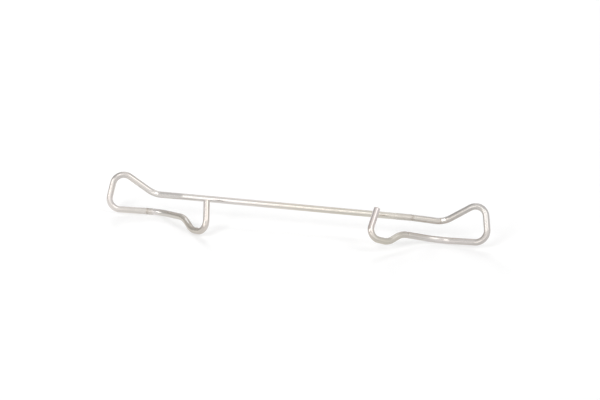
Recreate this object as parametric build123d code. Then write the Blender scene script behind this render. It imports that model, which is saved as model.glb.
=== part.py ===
from build123d import *
import os

# Brake caliper spring: one stainless wire, mirrored end loops with inturned hooks.
# Each end is laid out from the middle of the straight bar. "reach" runs out along
# the bar, "rise" and "drop" run across the loop, "front" is toward the hooks and
# "back" is away from them. All sizes are in millimetres and degrees.

WIRE_DIAMETER = 2.6
END_BREAK = 0.12          # broken edge round each sheared end

BAR_HALF = 46.8           # dead straight part of the bar, from its middle

UPTURN_REACH = 59.3       # corner from the bar up into the loop
UPTURN_DROP = 0.5
UPTURN_BACK = 1.8

SHOULDER_REACH = 74.9     # upper outer corner of the loop
SHOULDER_RISE = 9.6
SHOULDER_BACK = 0.2

HEEL_REACH = 77.9         # lower outer corner of the loop
HEEL_DROP = 7.2
HEEL_FRONT = 2.9

RUN_INSET = 20.5          # from the heel in to the lower run's own corner
RUN_DROP = 7.8
RUN_BACK = 2.2

DIP_INSET = 13.1          # from the run's corner in to the one down into the hook
DIP_DROP = 6.8
DIP_FRONT = 7.0

HOOK_INSET = 4.5          # from the dip in to the hook's outer corner
HOOK_DROP = 10.5
HOOK_FRONT = 11.1

HOOK_WIDTH = 7.3          # from the hook's outer corner to its inner corner
HOOK_LIFT = 1.1
HOOK_DEPTH = 6.0

LEG_SPLAY = 1.7           # from the hook's inner corner to the leg's tip
LEG_RISE = 11.5
LEG_SET = 6.3

BAR_BEND_R = 8.0          # bend radii on the wire's centreline, from the bar out
UPTURN_BEND_R = 9.5
LOOP_BEND_R = 4.5
RUN_BEND_R = 13.0
DIP_BEND_R = 7.8
HOOK_OUTER_BEND_R = 6.1
HOOK_INNER_BEND_R = 3.7

END_TWIST = 7.5           # each end turned about the bar, in opposite ways
LEAN = 22.0               # how far the loops lean back before the spring settles

SETTLE_PASSES = 4
SAMPLES = 240
LEVEL_ENOUGH = 1e-9


def inner_reaches():
    """Reach of the run's, the dip's and the hook's outer corner."""
    run = HEEL_REACH - RUN_INSET
    dip = run - DIP_INSET
    return run, dip, dip - HOOK_INSET


def end_corners(side):
    """Corners of one end's centreline, bar first; side is 1 for +X, -1 for -X."""
    run_reach, dip_reach, hook_reach = inner_reaches()
    inner_reach = hook_reach - HOOK_WIDTH
    inner_rise = HOOK_LIFT - HOOK_DROP
    inner_front = HOOK_FRONT + HOOK_DEPTH
    laid_out = [
        (BAR_HALF, 0, 0),
        (UPTURN_REACH, -UPTURN_DROP, -UPTURN_BACK),
        (SHOULDER_REACH, SHOULDER_RISE, -SHOULDER_BACK),
        (HEEL_REACH, -HEEL_DROP, HEEL_FRONT),
        (run_reach, -RUN_DROP, -RUN_BACK),
        (dip_reach, -DIP_DROP, DIP_FRONT),
        (hook_reach, -HOOK_DROP, HOOK_FRONT),
        (inner_reach, inner_rise, inner_front),
        (inner_reach + LEG_SPLAY, inner_rise + LEG_RISE, inner_front - LEG_SET),
    ]
    turn = -(LEAN + side * END_TWIST)
    return [Vector(side * reach, -front, rise).rotate(Axis.X, turn)
            for reach, rise, front in laid_out]


def centreline():
    """The whole wire's centreline: straight runs joined by tangent bends."""
    left, right = end_corners(-1), end_corners(1)
    bends = [BAR_BEND_R, UPTURN_BEND_R, LOOP_BEND_R, LOOP_BEND_R,
             RUN_BEND_R, DIP_BEND_R, HOOK_OUTER_BEND_R, HOOK_INNER_BEND_R]
    return FilletPolyline(*left[::-1], *right, radius=bends[::-1] + bends)


def touch_points(wire):
    """Lowest point of each outer loop and of the left hook."""
    points = [wire @ (i / SAMPLES) for i in range(SAMPLES + 1)]
    run_reach, dip_reach, _ = inner_reaches()
    split = (dip_reach + run_reach) / 2
    groups = (
        [p for p in points if p.X < -split],
        [p for p in points if p.X > split],
        [p for p in points if -split < p.X < 0],
    )
    return [min(group, key=lambda p: p.Z) for group in groups]


def settle(wire):
    """Turn the wire until its three touching bends share one level."""
    level = Vector(0, 0, 1)
    for _ in range(SETTLE_PASSES):
        left, right, hook = touch_points(wire)
        normal = (hook - left).cross(right - left).normalized()
        axis = normal.cross(level)
        if axis.length > LEVEL_ENOUGH:
            wire = wire.rotate(Axis((0, 0, 0), tuple(axis)), normal.get_angle(level))
    return wire


def spring():
    """The finished spring, resting on Z = 0 with its box centred on the origin."""
    path = settle(centreline().wire())
    start = Plane(origin=path @ 0, z_dir=path % 0)
    body = sweep(sections=start * Circle(WIRE_DIAMETER / 2), path=path)
    body = chamfer(body.faces().filter_by(GeomType.PLANE).edges(), END_BREAK)
    box = body.bounding_box()
    return body.translate((-box.center().X, -box.center().Y, -box.min.Z))


def main():
    os.makedirs("parts", exist_ok=True)
    part = spring()
    part.label = "spring_wire"
    export_step(part, "parts/spring_wire.step")
    print(part.bounding_box(), "volume", round(part.volume, 2))


main()
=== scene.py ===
"""Brake caliper spring: one bent stainless wire on a white studio table."""

import logging
import math
from dataclasses import dataclass, field
from enum import Enum

import bmesh
import bpy
from mathutils import Matrix, Vector


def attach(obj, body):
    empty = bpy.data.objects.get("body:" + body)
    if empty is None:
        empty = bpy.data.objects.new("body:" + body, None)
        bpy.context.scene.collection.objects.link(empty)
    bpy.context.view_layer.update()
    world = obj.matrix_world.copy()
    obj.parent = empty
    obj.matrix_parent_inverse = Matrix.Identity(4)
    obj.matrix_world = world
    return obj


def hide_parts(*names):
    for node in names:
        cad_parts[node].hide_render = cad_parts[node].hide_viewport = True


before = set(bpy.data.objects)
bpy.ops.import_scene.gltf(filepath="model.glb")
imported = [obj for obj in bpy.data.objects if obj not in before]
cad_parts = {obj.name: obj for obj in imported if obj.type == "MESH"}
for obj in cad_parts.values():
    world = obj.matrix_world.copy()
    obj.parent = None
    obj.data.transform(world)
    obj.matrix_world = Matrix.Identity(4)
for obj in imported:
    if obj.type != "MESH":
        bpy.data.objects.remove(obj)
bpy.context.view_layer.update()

MM = 0.001
UP = Vector((0, 0, 1))

WIRE_LENGTH = 301.3       # from tip to tip, in millimetres
SETTLE_PASSES = 4
BEND_STATIONS = 24
GROOVE_REACH = 2.5        # widths from its middle at which a groove has faded out
FLAT_FADE = 0.3           # share of its length over which each end of a flat fades
FLAT_KEENNESS = 3.0       # how soon a pressed flat turns bright from its rim inward
FINE_STEPS = 3            # rings for each plain one beside a tool mark or a flat
SHEAR_SEGMENTS = 3
SHEAR_INSETS = (0.25, 0.35)
SHEAR_DISH = 0.015
QUAD = 4

Colour = tuple[float, float, float, float]
log = logging.getLogger("caliper_spring")


class End(Enum):
    """The spring's two ends, by the way each reaches along the bar."""

    LEFT = -1
    RIGHT = 1


@dataclass(frozen=True)
class EndForm:
    """Sizes of one end, laid out from the bar's middle, in millimetres and degrees.

    Each corner is given by its reach along the bar, its rise, and how far it lies to
    the front. The steps lead on from the hook's outer corner.
    """

    bar_half: float = 46.8
    upturn: tuple[float, float, float] = (59.3, -0.5, -1.8)
    shoulder: tuple[float, float, float] = (74.9, 9.6, -0.2)
    heel: tuple[float, float, float] = (77.9, -7.2, 2.9)
    run: tuple[float, float, float] = (57.4, -7.8, -2.2)
    dip: tuple[float, float, float] = (44.3, -6.8, 7.0)
    hook: tuple[float, float, float] = (39.8, -10.5, 11.1)
    hook_step: tuple[float, float, float] = (-7.3, 1.1, 6.0)
    leg_step: tuple[float, float, float] = (1.7, 11.5, -6.3)
    twist: float = 7.5
    lean: float = 22.0

    def corners(self, end: End) -> list[Vector]:
        """Lay out the centreline's corners on one side.

        Args:
            end: The end to lay out.

        Returns:
            The corners in millimetres, from the bar out to the leg's tip.
        """
        hook_in = Vector(self.hook) + Vector(self.hook_step)
        tip = hook_in + Vector(self.leg_step)
        laid = [Vector((self.bar_half, 0, 0)), Vector(self.upturn), Vector(self.shoulder),
                Vector(self.heel), Vector(self.run), Vector(self.dip), Vector(self.hook),
                hook_in, tip]
        turn = Matrix.Rotation(-math.radians(self.lean + end.value * self.twist), 3, "X")
        return [turn @ Vector((end.value * c.x, -c.z, c.y)) for c in laid]


@dataclass(frozen=True)
class Run:
    """A straight stretch of wire."""

    length: float


@dataclass(frozen=True)
class Bend:
    """A round bend of the wire about an axis through its centre."""

    centre: Vector
    axis: Vector
    angle: float
    radius: float

    @property
    def length(self) -> float:
        """Length of the bend on the wire's centreline."""
        return self.radius * self.angle


@dataclass
class WireRoute:
    """The wire's centreline: straight runs and the bends that join them."""

    form: EndForm = field(default_factory=EndForm)
    bar_bend: float = 8.0
    upturn_bend: float = 9.5
    loop_bend: float = 4.5
    run_bend: float = 13.0
    dip_bend: float = 7.8
    hook_outer_bend: float = 6.1
    hook_inner_bend: float = 3.7

    def corners(self) -> list[Vector]:
        """Lay out the whole wire, standing on the table.

        Returns:
            The corners from the left tip to the right one.
        """
        left = self.form.corners(End.LEFT)[::-1]
        return self.stand(left + self.form.corners(End.RIGHT))

    def radii(self) -> list[float]:
        """List the bend radii at the inner corners.

        Returns:
            The radii, in the corners' order.
        """
        half = [self.bar_bend, self.upturn_bend, self.loop_bend, self.loop_bend,
                self.run_bend, self.dip_bend, self.hook_outer_bend, self.hook_inner_bend]
        return half[::-1] + half

    def stages(self, corners: list[Vector]) -> list[Run | Bend]:
        """Split a cornered line into runs and bends.

        Args:
            corners: The line's corners, in order.

        Returns:
            The runs and bends in the order in which the wire is fed.
        """
        stages: list[Run | Bend] = []
        start = corners[0]
        for here, after, radius in zip(corners[1:-1], corners[2:], self.radii()):
            into = (here - start).normalized()
            away = (after - here).normalized()
            angle = into.angle(away)
            reach = radius * math.tan(angle / 2)
            stages.append(Run((here - start).length - reach))
            axis = into.cross(away).normalized()
            centre = here - into * reach + axis.cross(into) * radius
            stages.append(Bend(centre, axis, angle, radius))
            start = here + away * reach
        stages.append(Run((corners[-1] - start).length))
        return stages

    def stations(self, corners: list[Vector]) -> list[Vector]:
        """Find points along the centreline, to see what touches the table.

        Args:
            corners: The line's corners, in order.

        Returns:
            The points, from the left tip to the right one.
        """
        points = [corners[0]]
        heading = (corners[1] - corners[0]).normalized()
        for stage in self.stages(corners):
            if isinstance(stage, Run):
                points.append(points[-1] + heading * stage.length)
                continue
            begun = points[-1] - stage.centre
            for part in range(1, BEND_STATIONS + 1):
                turn = Matrix.Rotation(stage.angle * part / BEND_STATIONS, 3, stage.axis)
                points.append(stage.centre + turn @ begun)
            heading = Matrix.Rotation(stage.angle, 3, stage.axis) @ heading
        return points

    def stand(self, corners: list[Vector]) -> list[Vector]:
        """Turn the wire until both run bends and the left hook share one level.

        Args:
            corners: The line's corners as laid out.

        Returns:
            The corners of the wire as it lies.
        """
        split = (self.form.dip[0] + self.form.run[0]) / 2
        for _ in range(SETTLE_PASSES):
            points = self.stations(corners)
            left = min((p for p in points if p.x < -split), key=lambda p: p.z)
            right = min((p for p in points if p.x > split), key=lambda p: p.z)
            hook = min((p for p in points if -split < p.x < 0), key=lambda p: p.z)
            normal = (hook - left).cross(right - left).normalized()
            turn = normal.rotation_difference(UP).to_matrix()
            corners = [turn @ c for c in corners]
        return corners


@dataclass(frozen=True)
class ToolMark:
    """A shallow groove that a forming tool left across the wire.

    Sizes are in millimetres, and along is measured on the wire from its left tip.
    Wrap lets the groove reach further round the wire than the side it faces.
    """

    along: float
    width: float
    depth: float
    facing: tuple[float, float, float]
    wrap: float = 0.0

    @property
    def reach(self) -> float:
        """Distance from its middle at which the groove has faded out."""
        return GROOVE_REACH * self.width

    def depth_at(self, along: float, normal: Vector) -> float:
        """Find how deep the groove is at a point of the wire's surface.

        Args:
            along: The point's distance along the wire.
            normal: The surface's outward direction there.

        Returns:
            The depth in millimetres.
        """
        share = max(0.0, normal.dot(Vector(self.facing).normalized()) + self.wrap)
        return self.depth * min(1.0, share) * math.exp(-((along - self.along) / self.width) ** 2)


@dataclass(frozen=True)
class PinFlat:
    """A small bright flat that a bending pin pressed into the wire.

    Sizes are in millimetres, and along is measured on the wire from its left tip.
    """

    along: float
    length: float
    depth: float
    facing: tuple[float, float, float]

    @property
    def reach(self) -> float:
        """Distance from its middle at which the flat has faded out."""
        return (0.5 + FLAT_FADE) * self.length

    def share_at(self, along: float) -> float:
        """Find how fully the wire is pressed at a point along it.

        Args:
            along: The point's distance along the wire.

        Returns:
            One on the flat, less over its fading ends, and none beyond them.
        """
        past = (abs(along - self.along) - self.length / 2) / (FLAT_FADE * self.length)
        return min(1.0, max(0.0, 1.0 - past))


@dataclass(frozen=True)
class ScoredLine:
    """A fine line scored lengthwise into the wire.

    Sizes are in millimetres, and along is measured on the wire from its left tip.
    """

    along: float
    length: float
    width: float
    depth: float
    facing: tuple[float, float, float]


@dataclass(frozen=True)
class Patch:
    """A length of wire whose surface changed, or on which light or shade is painted, fading out
    toward both its ends.

    Sizes are in millimetres, and along is measured on the wire from its left tip.
    """

    along: float
    half: float
    amount: float = 1.0

    def share_at(self, along: float) -> float:
        """Find how much of the change a point along the wire has.

        Args:
            along: The point's distance along the wire.

        Returns:
            The amount in the patch's middle, a third of it at its half length, and soon
            none beyond.
        """
        return self.amount * math.exp(-((along - self.along) / self.half) ** 4)


TOOL_MARKS = (
    ToolMark(along=46.25, width=0.42, depth=0.05, facing=(0, -0.8, 0.6), wrap=0.5),
    ToolMark(along=197.75, width=0.5, depth=0.08, facing=(0, -0.8, 0.6), wrap=0.5),
    ToolMark(along=208.9, width=0.28, depth=0.05, facing=(0, -0.8, 0.6), wrap=0.3),
    ToolMark(along=272.4, width=0.36, depth=0.12, facing=(0, 0.2, 1.0), wrap=0.15),
)
PIN_FLATS = (
    PinFlat(along=23.6, length=2.6, depth=0.045, facing=(0.13, -0.41, 0.90)),
    PinFlat(along=92.6, length=1.3, depth=0.05, facing=(-0.04, -0.78, 0.62)),
    PinFlat(along=210.2, length=1.4, depth=0.09, facing=(-0.04, -0.78, 0.62)),
)
SCORED_LINES = (
    ScoredLine(along=23.4, length=3.6, width=0.15, depth=0.05, facing=(-0.11, -0.58, 0.81)),
    ScoredLine(along=23.9, length=4.4, width=0.15, depth=0.05, facing=(0.35, -0.21, 0.92)),
)
SHEARED_ENDS = (Patch(along=0, half=0.3), Patch(along=WIRE_LENGTH, half=0.3))
# Wear, tone and painted light along the wire: some patches are real wear and tone, others paint
# sheen or shade into the metal's colour.
WEAR_AND_PAINTED_LIGHT = {
    "rubbed": SHEARED_ENDS + (
        Patch(along=45.3, half=1.65), Patch(along=194.6, half=3.4, amount=0.6)),
    "stained": (
        Patch(along=24, half=14, amount=0.4), Patch(along=168, half=30, amount=0.8),
        Patch(along=281, half=8, amount=0.8)),
    "flushed": (
        Patch(along=6, half=6, amount=0.6), Patch(along=296, half=6),
        Patch(along=70, half=16, amount=0.3), Patch(along=250, half=16, amount=0.4),
        Patch(along=147, half=26, amount=0.5)),
    # a bronze tint on the sheared ends, and painted shade on the left hook at 18 and the right dip
    # at 272, where the wire lies near the table
    "bronzed": SHEARED_ENDS + (
        Patch(along=18, half=8), Patch(along=272, half=6, amount=0.6)),
    "greyed": (
        Patch(along=211, half=14), Patch(along=234, half=7, amount=0.5),
        Patch(along=278, half=5, amount=0.5), Patch(along=75, half=5, amount=0.7)),
    # painted sheen: the metal made brighter where its reflections are brighter, with a painted
    # glint at 42.4 on the left run bend
    "brightened": (
        Patch(along=298, half=6), Patch(along=112, half=24, amount=0.5),
        Patch(along=253, half=9, amount=0.5), Patch(along=62, half=6, amount=0.7),
        Patch(along=42.4, half=2.2)),
}


@dataclass
class Wire:
    """The spring's wire, fed and bent the way a forming machine makes it.

    Sizes are in millimetres. Pitch is the spacing of the mesh's rings along the wire,
    and sides is the number of corners in each ring. The fields after end_break keep
    track of the forming: how much wire is fed, where its end is, which way it heads,
    one side of it, and the mesh's layers for each corner's place on the straight wire
    and for how far the tools pressed or polished it.
    """

    route: WireRoute
    marks: tuple[ToolMark, ...] = TOOL_MARKS
    flats: tuple[PinFlat, ...] = PIN_FLATS
    scores: tuple[ScoredLine, ...] = SCORED_LINES
    wear_and_painted_light: dict[str, tuple[Patch, ...]] = field(default_factory=lambda: dict(WEAR_AND_PAINTED_LIGHT))
    diameter: float = 2.6
    pitch: float = 0.28
    sides: int = 40
    end_break: float = 0.12
    fed: float = field(default=0.0, init=False)
    place: Vector = field(default_factory=Vector, init=False)
    heading: Vector = field(default_factory=Vector, init=False)
    side: Vector = field(default_factory=Vector, init=False)
    drawn: bmesh.types.BMLayerItem | None = field(default=None, init=False)
    pressed: bmesh.types.BMLayerItem | None = field(default=None, init=False)
    polished: bmesh.types.BMLayerItem | None = field(default=None, init=False)

    @property
    def radius(self) -> float:
        """Half the wire's diameter."""
        return self.diameter / 2

    def lay_on_ring(self, verts: list[bmesh.types.BMVert]) -> None:
        """Store where each new corner lay on the straight wire, before bending.

        Args:
            verts: The corners of the new ring.
        """
        across = self.heading.cross(self.side)
        for vert in verts:
            out = vert.co - self.place
            vert[self.drawn] = Vector((out.dot(self.side), out.dot(across), self.fed))

    def start(self, bm: bmesh.types.BMesh, corners: list[Vector]) -> list[bmesh.types.BMEdge]:
        """Put the first ring at the left leg's tip.

        Args:
            bm: The mesh under construction.
            corners: The wire's corners.

        Returns:
            The ring's edges.
        """
        self.drawn = bm.verts.layers.float_vector.new("drawn")
        self.pressed = bm.verts.layers.float.new("pressed")
        self.polished = bm.verts.layers.float.new("polished")
        self.place = corners[0].copy()
        self.heading = (corners[1] - corners[0]).normalized()
        self.side = self.heading.orthogonal().normalized()
        turn = self.heading.to_track_quat("Z", "Y").to_matrix().to_4x4()
        made = bmesh.ops.create_circle(bm, cap_ends=False, segments=self.sides,
                                       radius=self.radius,
                                       matrix=Matrix.Translation(self.place) @ turn)
        self.lay_on_ring(made["verts"])
        return list(dict.fromkeys(e for v in made["verts"] for e in v.link_edges))

    def steps(self, length: float) -> list[float]:
        """Share a stage's length out into steps, finer beside a tool mark or a flat.

        Args:
            length: Length of the stage on the centreline.

        Returns:
            The steps, which add up to the length.
        """
        steps, begun = [], 0.0
        while begun < length:
            at = self.fed + begun
            near = any(abs(at - mark.along) < mark.reach for mark in self.marks + self.flats)
            steps.append(self.pitch / FINE_STEPS if near else self.pitch)
            begun += steps[-1]
        return [step * length / begun for step in steps]

    def feed(self, bm: bmesh.types.BMesh, ring: list[bmesh.types.BMEdge],
             run: Run) -> list[bmesh.types.BMEdge]:
        """Push a straight run of wire out.

        Args:
            bm: The mesh under construction.
            ring: Edges of the last ring.
            run: The run to feed.

        Returns:
            Edges of the new last ring.
        """
        for step in self.steps(run.length):
            made = bmesh.ops.extrude_edge_only(bm, edges=ring)["geom"]
            verts = [g for g in made if isinstance(g, bmesh.types.BMVert)]
            kept = set(verts)
            ring = [g for g in made if isinstance(g, bmesh.types.BMEdge)
                    and kept.issuperset(g.verts)]
            bmesh.ops.translate(bm, verts=verts, vec=self.heading * step)
            self.place = self.place + self.heading * step
            self.fed += step
            self.lay_on_ring(verts)
        return ring

    def bend(self, bm: bmesh.types.BMesh, ring: list[bmesh.types.BMEdge],
             bend: Bend) -> list[bmesh.types.BMEdge]:
        """Roll the wire round a bend.

        Args:
            bm: The mesh under construction.
            ring: Edges of the last ring.
            bend: The bend to form.

        Returns:
            Edges of the new last ring.
        """
        for step in self.steps(bend.length):
            turn = Matrix.Rotation(step / bend.radius, 3, bend.axis)
            verts = list(dict.fromkeys(v for e in ring for v in e.verts))
            made = bmesh.ops.spin(bm, geom=verts + ring, cent=bend.centre, axis=bend.axis,
                                  dvec=(0, 0, 0), angle=step / bend.radius, steps=1,
                                  use_duplicate=False)["geom_last"]
            verts = [g for g in made if isinstance(g, bmesh.types.BMVert)]
            ring = [g for g in made if isinstance(g, bmesh.types.BMEdge)]
            self.place = bend.centre + turn @ (self.place - bend.centre)
            self.heading = turn @ self.heading
            self.side = turn @ self.side
            self.fed += step
            self.lay_on_ring(verts)
        return ring

    def shear(self, bm: bmesh.types.BMesh, ring: list[bmesh.types.BMEdge]) -> None:
        """Close an end with a sheared face and a broken edge.

        Args:
            bm: The mesh under construction.
            ring: Edges of the end's ring.
        """
        face = bmesh.ops.edgeloop_fill(bm, edges=ring)["faces"][0]
        bmesh.ops.bevel(bm, geom=list(face.edges), offset=self.end_break,
                        offset_type="OFFSET", segments=SHEAR_SEGMENTS, profile=0.5,
                        affect="EDGES", material=-1)
        cap = next(f for f in bm.faces if len(f.verts) > QUAD)
        for inset in SHEAR_INSETS:
            bmesh.ops.inset_region(bm, faces=[cap], thickness=inset, depth=-SHEAR_DISH)
        bmesh.ops.poke(bm, faces=[cap])

    def form(self) -> bpy.types.Object:
        """Feed and bend the whole wire.

        Returns:
            The finished wire.
        """
        bm = bmesh.new()
        corners = self.route.corners()
        first = ring = self.start(bm, corners)
        for stage in self.route.stages(corners):
            ring = (self.feed if isinstance(stage, Run) else self.bend)(bm, ring, stage)
        self.shear(bm, first)
        self.shear(bm, ring)
        bmesh.ops.recalc_face_normals(bm, faces=bm.faces)
        for finish in (self.press, self.flatten, self.score, self.lay_wear_and_painted_light, self.settle):
            finish(bm)
        for face in bm.faces:
            face.smooth = True
        return as_object(bm, "spring_wire_formed")

    def near(self, bm: bmesh.types.BMesh, along: float,
             reach: float) -> list[bmesh.types.BMVert]:
        """Find the corners close to a place along the wire.

        Args:
            bm: The wire's mesh.
            along: The place's distance along the wire.
            reach: How far from it a corner may lie.

        Returns:
            The corners.
        """
        return [v for v in bm.verts if abs(v[self.drawn].z - along) < reach]

    def press(self, bm: bmesh.types.BMesh) -> None:
        """Press the tool marks into the surface.

        Args:
            bm: The wire's mesh.
        """
        bm.normal_update()
        for mark in self.marks:
            near = self.near(bm, mark.along, mark.reach)
            depths = [mark.depth_at(v[self.drawn].z, v.normal) for v in near]
            for vert, depth in zip(near, depths):
                vert.co -= vert.normal * depth
                vert[self.pressed] = max(vert[self.pressed], depth / mark.depth)

    def flatten(self, bm: bmesh.types.BMesh) -> None:
        """Press the bending pins' flats into the surface.

        Args:
            bm: The wire's mesh.
        """
        for flat in self.flats:
            near = self.near(bm, flat.along, flat.reach)
            middle = sum((v.co for v in near), Vector()) / len(near)
            first = min(near, key=lambda v: v[self.drawn].z).co
            last = max(near, key=lambda v: v[self.drawn].z).co
            along = (last - first).normalized()
            facing = Vector(flat.facing)
            out = (facing - along * facing.dot(along)).normalized()
            for vert in near:
                share = flat.share_at(vert[self.drawn].z)
                proud = (vert.co - middle).dot(out) - (self.radius - flat.depth)
                if proud > 0:
                    vert.co -= out * proud * share
                    vert[self.polished] = share * min(1.0, FLAT_KEENNESS * proud / flat.depth)

    def score(self, bm: bmesh.types.BMesh) -> None:
        """Score the lengthwise lines, each along the corners that face its way.

        Args:
            bm: The wire's mesh.
        """
        bm.normal_update()
        for line in self.scores:
            near = self.near(bm, line.along, line.length / 2)
            facing = Vector(line.facing)
            on_line = max(near, key=lambda v: v.normal.dot(facing))[self.drawn].xy
            for vert in near:
                if (vert[self.drawn].xy - on_line).length < line.width:
                    vert.co -= vert.normal * line.depth
                    vert[self.pressed] = 1.0

    def lay_wear_and_painted_light(self, bm: bmesh.types.BMesh) -> None:
        """Store how much of each wear, tone or painted light the surface has, point by point.

        Args:
            bm: The wire's mesh.
        """
        for name, patches in self.wear_and_painted_light.items():
            layer = bm.verts.layers.float.new(name)
            for vert in bm.verts:
                along = vert[self.drawn].z
                vert[layer] = min(1.0, sum(patch.share_at(along) for patch in patches))

    @staticmethod
    def settle(bm: bmesh.types.BMesh) -> None:
        """Set the wire on the table with its own box centred over the origin, in metres.

        Args:
            bm: The wire's mesh.
        """
        low = Vector(min(v.co[i] for v in bm.verts) for i in range(3))
        high = Vector(max(v.co[i] for v in bm.verts) for i in range(3))
        foot = Vector(((low.x + high.x) / 2, (low.y + high.y) / 2, low.z))
        bmesh.ops.translate(bm, verts=bm.verts, vec=-foot)
        bmesh.ops.scale(bm, verts=bm.verts, vec=(MM, MM, MM))


def as_object(bm: bmesh.types.BMesh, name: str) -> bpy.types.Object:
    """Turn a finished mesh into an object of the scene.

    Args:
        bm: The mesh, which is freed.
        name: The object's name.

    Returns:
        The object.
    """
    mesh = bpy.data.meshes.new(name)
    bm.to_mesh(mesh)
    bm.free()
    made = bpy.data.objects.new(name, mesh)
    bpy.context.scene.collection.objects.link(made)
    return made


def plug(tree: bpy.types.NodeTree, value: float | Colour | Vector | bpy.types.NodeSocket,
         socket: bpy.types.NodeSocket) -> None:
    """Give a node's input its value: a link from another node, or a constant.

    Args:
        tree: The nodes they belong to.
        value: The other node's output, or the constant.
        socket: The input.
    """
    if isinstance(value, bpy.types.NodeSocket):
        tree.links.new(value, socket)
    else:
        socket.default_value = value


def work_out(tree: bpy.types.NodeTree, operation: str,
             *values: float | bpy.types.NodeSocket) -> bpy.types.NodeSocket:
    """Do one sum with a node.

    Args:
        tree: The nodes to add to.
        operation: The sum, as Blender names it.
        values: What it is done on, in the node's order.

    Returns:
        The socket that carries the result.
    """
    node = tree.nodes.new("ShaderNodeMath")
    node.operation = operation
    for slot, value in enumerate(values):
        plug(tree, value, node.inputs[slot])
    return node.outputs[0]


def distance_along(tree: bpy.types.NodeTree, coordinates: str,
                   way: Vector) -> bpy.types.NodeSocket:
    """Measure places along one direction.

    Args:
        tree: The nodes to add to.
        coordinates: The kind of coordinates to measure in.
        way: The direction.

    Returns:
        The socket that carries the distance, or the cosine where places are directions.
    """
    place = tree.nodes.new("ShaderNodeTexCoord")
    dot = tree.nodes.new("ShaderNodeVectorMath")
    dot.operation = "DOT_PRODUCT"
    plug(tree, way, dot.inputs[1])
    plug(tree, place.outputs[coordinates], dot.inputs[0])
    return dot.outputs["Value"]


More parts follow.
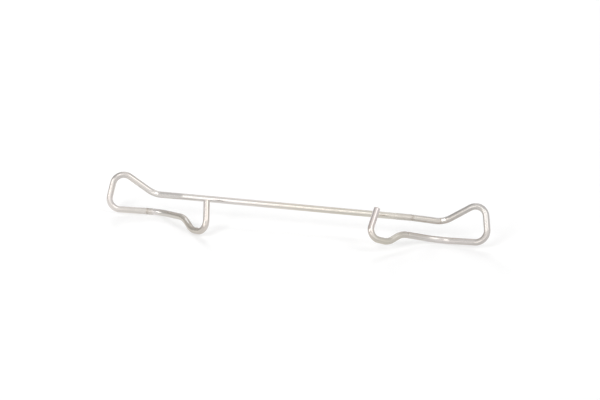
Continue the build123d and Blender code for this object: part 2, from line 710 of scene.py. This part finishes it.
@dataclass(frozen=True)
class DrawnStainless:
    """Bright drawn stainless spring wire.

    Each tint multiplies the metal's colour as far as the value it is named after says, be it wear,
    tone or painted light, and each overlay covers it, up to its own share. Noise scales are per
    millimetre round the wire, and stretches are the share of that along it.
    """

    pale: Colour = (0.765, 0.73, 0.70, 1)
    dull: Colour = (0.61, 0.58, 0.55, 1)
    cool_tint: Colour = (0.97, 0.985, 1, 1)
    warm_tint: Colour = (1, 0.965, 0.90, 1)
    tints: tuple[tuple[str, Colour], ...] = (
        ("stained", (0.985, 0.975, 0.90, 1)),
        ("flushed", (1.0, 0.965, 0.97, 1)),
        # darker, browner tint: bronze on the sheared ends, painted shade on the hook and dip near
        # the table
        ("bronzed", (0.92, 0.90, 0.88, 1)),
        ("greyed", (0.90, 0.905, 0.92, 1)),
        # painted sheen: a brighter tint that stands in for brighter reflections
        ("brightened", (1.10, 1.10, 1.13, 1)),
    )
    overlays: tuple[tuple[str, Colour, float], ...] = (
        ("rubbed", (0.58, 0.535, 0.485, 1), 0.4),
        ("pressed", (0.50, 0.45, 0.40, 1), 0.8),
        ("polished", (0.90, 0.87, 0.84, 1), 0.9),
    )
    roughness: float = 0.18
    keener: float = 0.06
    duller: float = 0.08
    rubbed_rougher: float = 0.3
    polished_rougher: float = -0.08
    line_scale: float = 2.2
    line_stretch: float = 0.02
    line_layers: float = 5
    line_bump: float = 0.25
    line_height: float = 0.00002
    line_places: tuple[float, float] = (0.3, 0.7)
    drift_scale: float = 0.35
    drift_stretch: float = 0.12
    drift_layers: float = 1
    drift_places: tuple[float, float] = (0.35, 0.75)
    noise_roughness: float = 0.65

    def material(self) -> bpy.types.Material:
        """Build the wire's node material.

        Returns:
            A metal with fine lengthwise die lines, worn where the tools held it, with painted
            sheen and painted shade in places.
        """
        mat = bpy.data.materials.new("drawn_stainless")
        mat.use_nodes = True
        tree = mat.node_tree
        shader = tree.nodes["Principled BSDF"]
        shader.inputs["Metallic"].default_value = 1.0
        lines = self.noise(tree, self.line_scale, self.line_stretch, self.line_layers)
        metal = self.ramp(tree, lines, self.line_places, (self.dull, self.pale))
        tone = self.tinted(tree, metal)
        for name, colour, most in self.overlays:
            tone = self.mix(tree, self.share(tree, name, most), tone, colour)
        plug(tree, tone, shader.inputs["Base Color"])
        plug(tree, self.grain(tree, lines), shader.inputs["Roughness"])
        bump = tree.nodes.new("ShaderNodeBump")
        bump.inputs["Strength"].default_value = self.line_bump
        bump.inputs["Distance"].default_value = self.line_height
        plug(tree, lines, bump.inputs["Height"])
        plug(tree, bump.outputs["Normal"], shader.inputs["Normal"])
        return mat

    def noise(self, tree: bpy.types.NodeTree, scale: float, stretch: float,
              detail: float) -> bpy.types.NodeSocket:
        """Noise drawn out along the wire.

        Args:
            tree: The nodes to add to.
            scale: Fineness round the wire, per millimetre.
            stretch: Fineness along the wire, as a share of that.
            detail: Number of finer layers.

        Returns:
            The noise's socket.
        """
        drawn = tree.nodes.new("ShaderNodeAttribute")
        drawn.attribute_name = "drawn"
        lay = tree.nodes.new("ShaderNodeMapping")
        lay.inputs["Scale"].default_value = (1.0, 1.0, stretch)
        plug(tree, drawn.outputs["Vector"], lay.inputs["Vector"])
        noise = tree.nodes.new("ShaderNodeTexNoise")
        noise.inputs["Scale"].default_value = scale
        noise.inputs["Detail"].default_value = detail
        noise.inputs["Roughness"].default_value = self.noise_roughness
        plug(tree, lay.outputs["Vector"], noise.inputs["Vector"])
        return noise.outputs["Fac"]

    @staticmethod
    def ramp(tree: bpy.types.NodeTree, value: bpy.types.NodeSocket,
             places: tuple[float, float],
             colours: tuple[Colour, Colour]) -> bpy.types.NodeSocket:
        """Run from one colour at a low value to another at a high one.

        Args:
            tree: The nodes to add to.
            value: What the colour follows.
            places: The low value and the high one.
            colours: The colour at each.

        Returns:
            The colour's socket.
        """
        ramp = tree.nodes.new("ShaderNodeValToRGB")
        for element, place, colour in zip(ramp.color_ramp.elements, places, colours):
            element.position = place
            element.color = colour
        plug(tree, value, ramp.inputs["Fac"])
        return ramp.outputs["Color"]

    @staticmethod
    def share(tree: bpy.types.NodeTree, name: str, most: float) -> bpy.types.NodeSocket:
        """Read one of the wire's values of wear, tone or painted light, scaled to the most it may
        do.

        Args:
            tree: The nodes to add to.
            name: The value's name.
            most: What the value does at its fullest.

        Returns:
            The scaled value's socket.
        """
        worn = tree.nodes.new("ShaderNodeAttribute")
        worn.attribute_name = name
        return work_out(tree, "MULTIPLY", worn.outputs["Fac"], most)

    @staticmethod
    def mix(tree: bpy.types.NodeTree, share: bpy.types.NodeSocket,
            under: bpy.types.NodeSocket, over: Colour | bpy.types.NodeSocket,
            blend: str = "MIX") -> bpy.types.NodeSocket:
        """Lay one colour over another by a share.

        Args:
            tree: The nodes to add to.
            share: How much of the upper colour shows.
            under: The lower colour.
            over: The upper colour.
            blend: How the two are blended, as Blender names it.

        Returns:
            The blended colour's socket.
        """
        mix = tree.nodes.new("ShaderNodeMix")
        mix.data_type = "RGBA"
        mix.blend_type = blend
        plug(tree, share, mix.inputs["Factor"])
        plug(tree, under, mix.inputs["A"])
        plug(tree, over, mix.inputs["B"])
        return mix.outputs["Result"]

    def tinted(self, tree: bpy.types.NodeTree,
               tone: bpy.types.NodeSocket) -> bpy.types.NodeSocket:
        """Tint the metal a little from place to place, and in patches: stained, flushed, greyed,
        bronze on its ends, and painted with shade or sheen elsewhere.

        Args:
            tree: The nodes to add to.
            tone: The metal's colour before.

        Returns:
            The tinted colour's socket.
        """
        drift = self.noise(tree, self.drift_scale, self.drift_stretch, self.drift_layers)
        hue = self.ramp(tree, drift, self.drift_places, (self.cool_tint, self.warm_tint))
        tone = self.mix(tree, drift, tone, hue, "MULTIPLY")
        for name, tint in self.tints:
            tone = self.mix(tree, self.share(tree, name, 1.0), tone, tint, "MULTIPLY")
        return tone

    def grain(self, tree: bpy.types.NodeTree,
              lines: bpy.types.NodeSocket) -> bpy.types.NodeSocket:
        """Work the roughness out: uneven with the die lines, duller where it is rubbed.

        Args:
            tree: The nodes to add to.
            lines: The die lines' noise.

        Returns:
            The roughness's socket.
        """
        rough = tree.nodes.new("ShaderNodeMapRange")
        rough.inputs["To Min"].default_value = self.roughness - self.keener
        rough.inputs["To Max"].default_value = self.roughness + self.duller
        plug(tree, lines, rough.inputs["Value"])
        value = rough.outputs["Result"]
        for name, change in (("rubbed", self.rubbed_rougher), ("polished", self.polished_rougher)):
            value = work_out(tree, "ADD", value, self.share(tree, name, change))
        return value


@dataclass
class Spring:
    """The finished spring: the formed wire in its finish."""

    wire: Wire
    finish: DrawnStainless = field(default_factory=DrawnStainless)

    def build(self) -> bpy.types.Object:
        """Form, dress and place the wire.

        Returns:
            The spring, riding on the CAD body in place of its node.
        """
        piece = self.wire.form()
        piece.data.materials.append(self.finish.material())
        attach(piece, "root")
        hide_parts("spring_wire")
        log.info("%s: %.1f mm of wire, %d faces", piece.name, self.wire.fed,
                 len(piece.data.polygons))
        return piece


@dataclass
class Table:
    """The white table the spring lies on, painted darker toward its front edge as if lit less
    there.

    It shows a set white where it is seen, partly lit and partly glowing, so that the shadows on it
    stay faint, and in mirrors a painted gradient of light makes it brighter toward one side.
    Lengths are in metres.
    """

    toward: Vector
    brighter: Vector
    half: float = 3.0
    white: float = 0.9
    seen_white: float = 1.022
    front_loss: float = 10.0
    front_curve: float = 3.0
    front_least: float = 0.85
    mirror_white: float = 0.915
    mirror_slope: float = 2.8
    mirror_least: float = 0.7
    mirror_most: float = 1.2
    lit_share: float = 0.53

    def build(self) -> bpy.types.Object:
        """Make the table top.

        Returns:
            The table, marked as stage.
        """
        bm = bmesh.new()
        bmesh.ops.create_grid(bm, x_segments=1, y_segments=1, size=self.half)
        table = as_object(bm, "table")
        table.data.materials.append(self.material())
        return table

    def level(self, tree: bpy.types.NodeTree) -> bpy.types.NodeSocket:
        """Find the table's brightness: painted lower toward its front, and in mirrors a painted
        gradient of light toward one side.

        Args:
            tree: The table material's nodes.

        Returns:
            The socket that carries the level.
        """
        levels = []
        # painted falloff of light toward the front for camera rays, and a painted side-to-side
        # gradient of light for glossy rays
        for way, sums in (
                (self.toward, (("MAXIMUM", 0.0), ("POWER", self.front_curve),
                               ("MULTIPLY", -self.front_loss), ("ADD", self.seen_white),
                               ("MAXIMUM", self.front_least))),
                (self.brighter, (("MULTIPLY", self.mirror_slope), ("ADD", self.mirror_white),
                                 ("MAXIMUM", self.mirror_least),
                                 ("MINIMUM", self.mirror_most)))):
            level = distance_along(tree, "Object", way)
            for operation, second in sums:
                level = work_out(tree, operation, level, second)
            levels.append(level)
        path = tree.nodes.new("ShaderNodeLightPath")
        return choose(tree, path.outputs["Is Glossy Ray"], *levels)

    def material(self) -> bpy.types.Material:
        """Build the table's material.

        Returns:
            White laminate that reads as white where it is seen, and keeps shadows.
        """
        mat = bpy.data.materials.new("white_table")
        mat.use_nodes = True
        tree = mat.node_tree
        nodes = tree.nodes
        nodes.clear()
        out = nodes.new("ShaderNodeOutputMaterial")
        plain = nodes.new("ShaderNodeBsdfDiffuse")
        plain.inputs["Color"].default_value = (self.white, self.white, self.white, 1)
        level = self.level(tree)
        seen = nodes.new("ShaderNodeAddShader")
        for slot, (kind, share) in enumerate((("ShaderNodeBsdfDiffuse", self.lit_share),
                                              ("ShaderNodeEmission", 1 - self.lit_share))):
            part = nodes.new(kind)
            plug(tree, work_out(tree, "MULTIPLY", level, share), part.inputs["Color"])
            plug(tree, part.outputs[0], seen.inputs[slot])
        mix = nodes.new("ShaderNodeMixShader")
        plug(tree, seen_rays(tree), mix.inputs["Fac"])
        plug(tree, plain.outputs[0], mix.inputs[1])
        plug(tree, seen.outputs[0], mix.inputs[2])
        plug(tree, mix.outputs[0], out.inputs["Surface"])
        return mat


def seen_rays(tree: bpy.types.NodeTree) -> bpy.types.NodeSocket:
    """One for camera, glossy and transmission rays, and none for the rest.

    Args:
        tree: The nodes to add to.

    Returns:
        The socket that carries the answer.
    """
    path = tree.nodes.new("ShaderNodeLightPath")
    value = path.outputs["Is Camera Ray"]
    for kind in ("Is Glossy Ray", "Is Transmission Ray"):
        value = work_out(tree, "MAXIMUM", value, path.outputs[kind])
    return value


def choose(tree: bpy.types.NodeTree, switch: bpy.types.NodeSocket,
           off: float | bpy.types.NodeSocket,
           on: float | bpy.types.NodeSocket) -> bpy.types.NodeSocket:
    """Pick one of two levels.

    Args:
        tree: The nodes to add to.
        switch: One or none.
        off: The level where the switch is none.
        on: The level where the switch is one.

    Returns:
        The socket that carries the level.
    """
    pick = tree.nodes.new("ShaderNodeMix")
    plug(tree, switch, pick.inputs["Factor"])
    plug(tree, off, pick.inputs["A"])
    plug(tree, on, pick.inputs["B"])
    return pick.outputs["Result"]


@dataclass(frozen=True)
class Softbox:
    """A round softbox aimed at the spring, or the bare flash behind one.

    Angles are in degrees, and bearing is counted from the camera's side.
    """

    name: str
    bearing: float
    height: float
    spread: float
    brightness: float
    mirrored: bool = True
    distance: float = 1.0

    def build(self, azimuth: float) -> None:
        """Hang the lamp.

        Args:
            azimuth: Turn of the set about the vertical, in degrees.
        """
        lamp = bpy.data.lights.new(self.name, "AREA")
        lamp.shape = "DISK"
        lamp.size = 2 * self.distance * math.tan(math.radians(self.spread))
        area = math.pi * (lamp.size / 2) ** 2
        lamp.energy = math.pi * area * self.brightness
        way = toward(azimuth + self.bearing, self.height)
        holder = bpy.data.objects.new(self.name, lamp)
        holder.visible_glossy = self.mirrored
        holder.location = way * self.distance
        holder.rotation_mode = "QUATERNION"
        holder.rotation_quaternion = way.to_track_quat("Z", "Y")
        bpy.context.scene.collection.objects.link(holder)


def toward(bearing: float, height: float) -> Vector:
    """Direction from the spring out to a place round it.

    Args:
        bearing: Turn from the part's front, in degrees, toward its right.
        height: Angle above the table, in degrees.

    Returns:
        The unit direction.
    """
    turn, rise = math.radians(bearing), math.radians(height)
    return Vector((math.sin(turn) * math.cos(rise), -math.cos(turn) * math.cos(rise),
                   math.sin(rise)))


@dataclass
class Studio:
    """The white set: table, surround, softboxes and camera.

    Angles are in degrees, and the camera's distance and aim are in metres. The glows
    are the surround's brightness as the wire mirrors it.
    """

    azimuth: float = 11.75
    elevation: float = 25.14
    distance: float = 0.7221
    lens: float = 108.07
    sensor: float = 36.0
    clip: tuple[float, float] = (0.05, 20.0)
    aim: tuple[float, float, float] = (0.00112, 0.00944, 0.01097)
    ambient: float = 0.20
    front_glow: float = 0.94
    back_glow: float = 0.38
    glow_turn: float = 23.0
    glow_height: float = 20.0
    end_glow: float = 0.21
    mirror_turn: float = 170.0
    lamps: tuple[Softbox, ...] = (
        Softbox("front_left_softbox", -32.6, 49.3, 9, 1.70),
        Softbox("front_fill_softbox", -30, 16, 10.5, 0.94),
        Softbox("front_right_softbox", 45, 54, 17, 0.95),
        Softbox("side_softbox", -68, 23.6, 11, 1.84),
        Softbox("back_softbox", 182, 48, 15.5, 0.5),
        Softbox("overhead_softbox", 0, 87, 25, 0.2),
        Softbox("front_left_flash", -42, 44, 14, 3.3, mirrored=False),
        Softbox("low_left_flash", -38, 22, 13, 5.6, mirrored=False),
        Softbox("front_right_flash", 50, 38, 15, 3.0, mirrored=False),
        Softbox("high_back_flash", 180, 51, 11, 4.8, mirrored=False),
        Softbox("low_back_flash", 195, 21, 11, 10.5, mirrored=False),
    )

    def build(self) -> None:
        """Set up everything round the spring."""
        Table(toward(self.azimuth, 0), toward(self.azimuth - self.mirror_turn, 0)).build()
        for lamp in self.lamps:
            lamp.build(self.azimuth)
        self.light_surround()
        self.place_camera()

    def light_surround(self) -> None:
        """Light the room: even for the table, brighter in front in reflections."""
        world = bpy.data.worlds.new("surround")
        bpy.context.scene.world = world
        world.use_nodes = True
        tree = world.node_tree
        sky = tree.nodes["Background"]
        sky.inputs["Color"].default_value = (1, 1, 1, 1)
        across = distance_along(tree, "Generated",
                                toward(self.azimuth + self.glow_turn, self.glow_height))
        glow = tree.nodes.new("ShaderNodeMapRange")
        glow.inputs["From Min"].default_value = -1.0
        glow.inputs["To Min"].default_value = self.back_glow
        glow.inputs["To Max"].default_value = self.front_glow
        plug(tree, across, glow.inputs["Value"])
        ahead = distance_along(tree, "Generated", toward(self.azimuth, 0))
        ends = work_out(tree, "MULTIPLY", ahead, ahead)
        mirrored = work_out(tree, "MULTIPLY_ADD", ends, self.end_glow, glow.outputs["Result"])
        path = tree.nodes.new("ShaderNodeLightPath")
        room = choose(tree, seen_rays(tree), self.ambient, mirrored)
        shown = choose(tree, path.outputs["Is Camera Ray"], room, 1.0)
        plug(tree, shown, sky.inputs["Strength"])

    def place_camera(self) -> None:
        """Stand the camera at its viewing angle."""
        cam = bpy.data.cameras.new("camera")
        cam.lens = self.lens
        cam.sensor_width = self.sensor
        cam.clip_start, cam.clip_end = self.clip
        back = toward(self.azimuth, self.elevation)
        holder = bpy.data.objects.new("camera", cam)
        holder.location = Vector(self.aim) + back * self.distance
        holder.rotation_mode = "QUATERNION"
        holder.rotation_quaternion = back.to_track_quat("Z", "Y")
        bpy.context.scene.collection.objects.link(holder)
        bpy.context.scene.camera = holder


def main() -> None:
    """Build the spring and its studio."""
    logging.basicConfig(level=logging.INFO)
    bpy.context.scene.view_settings.view_transform = "Standard"
    Spring(Wire(WireRoute())).build()
    Studio().build()


if __name__ == "__main__":
    main()
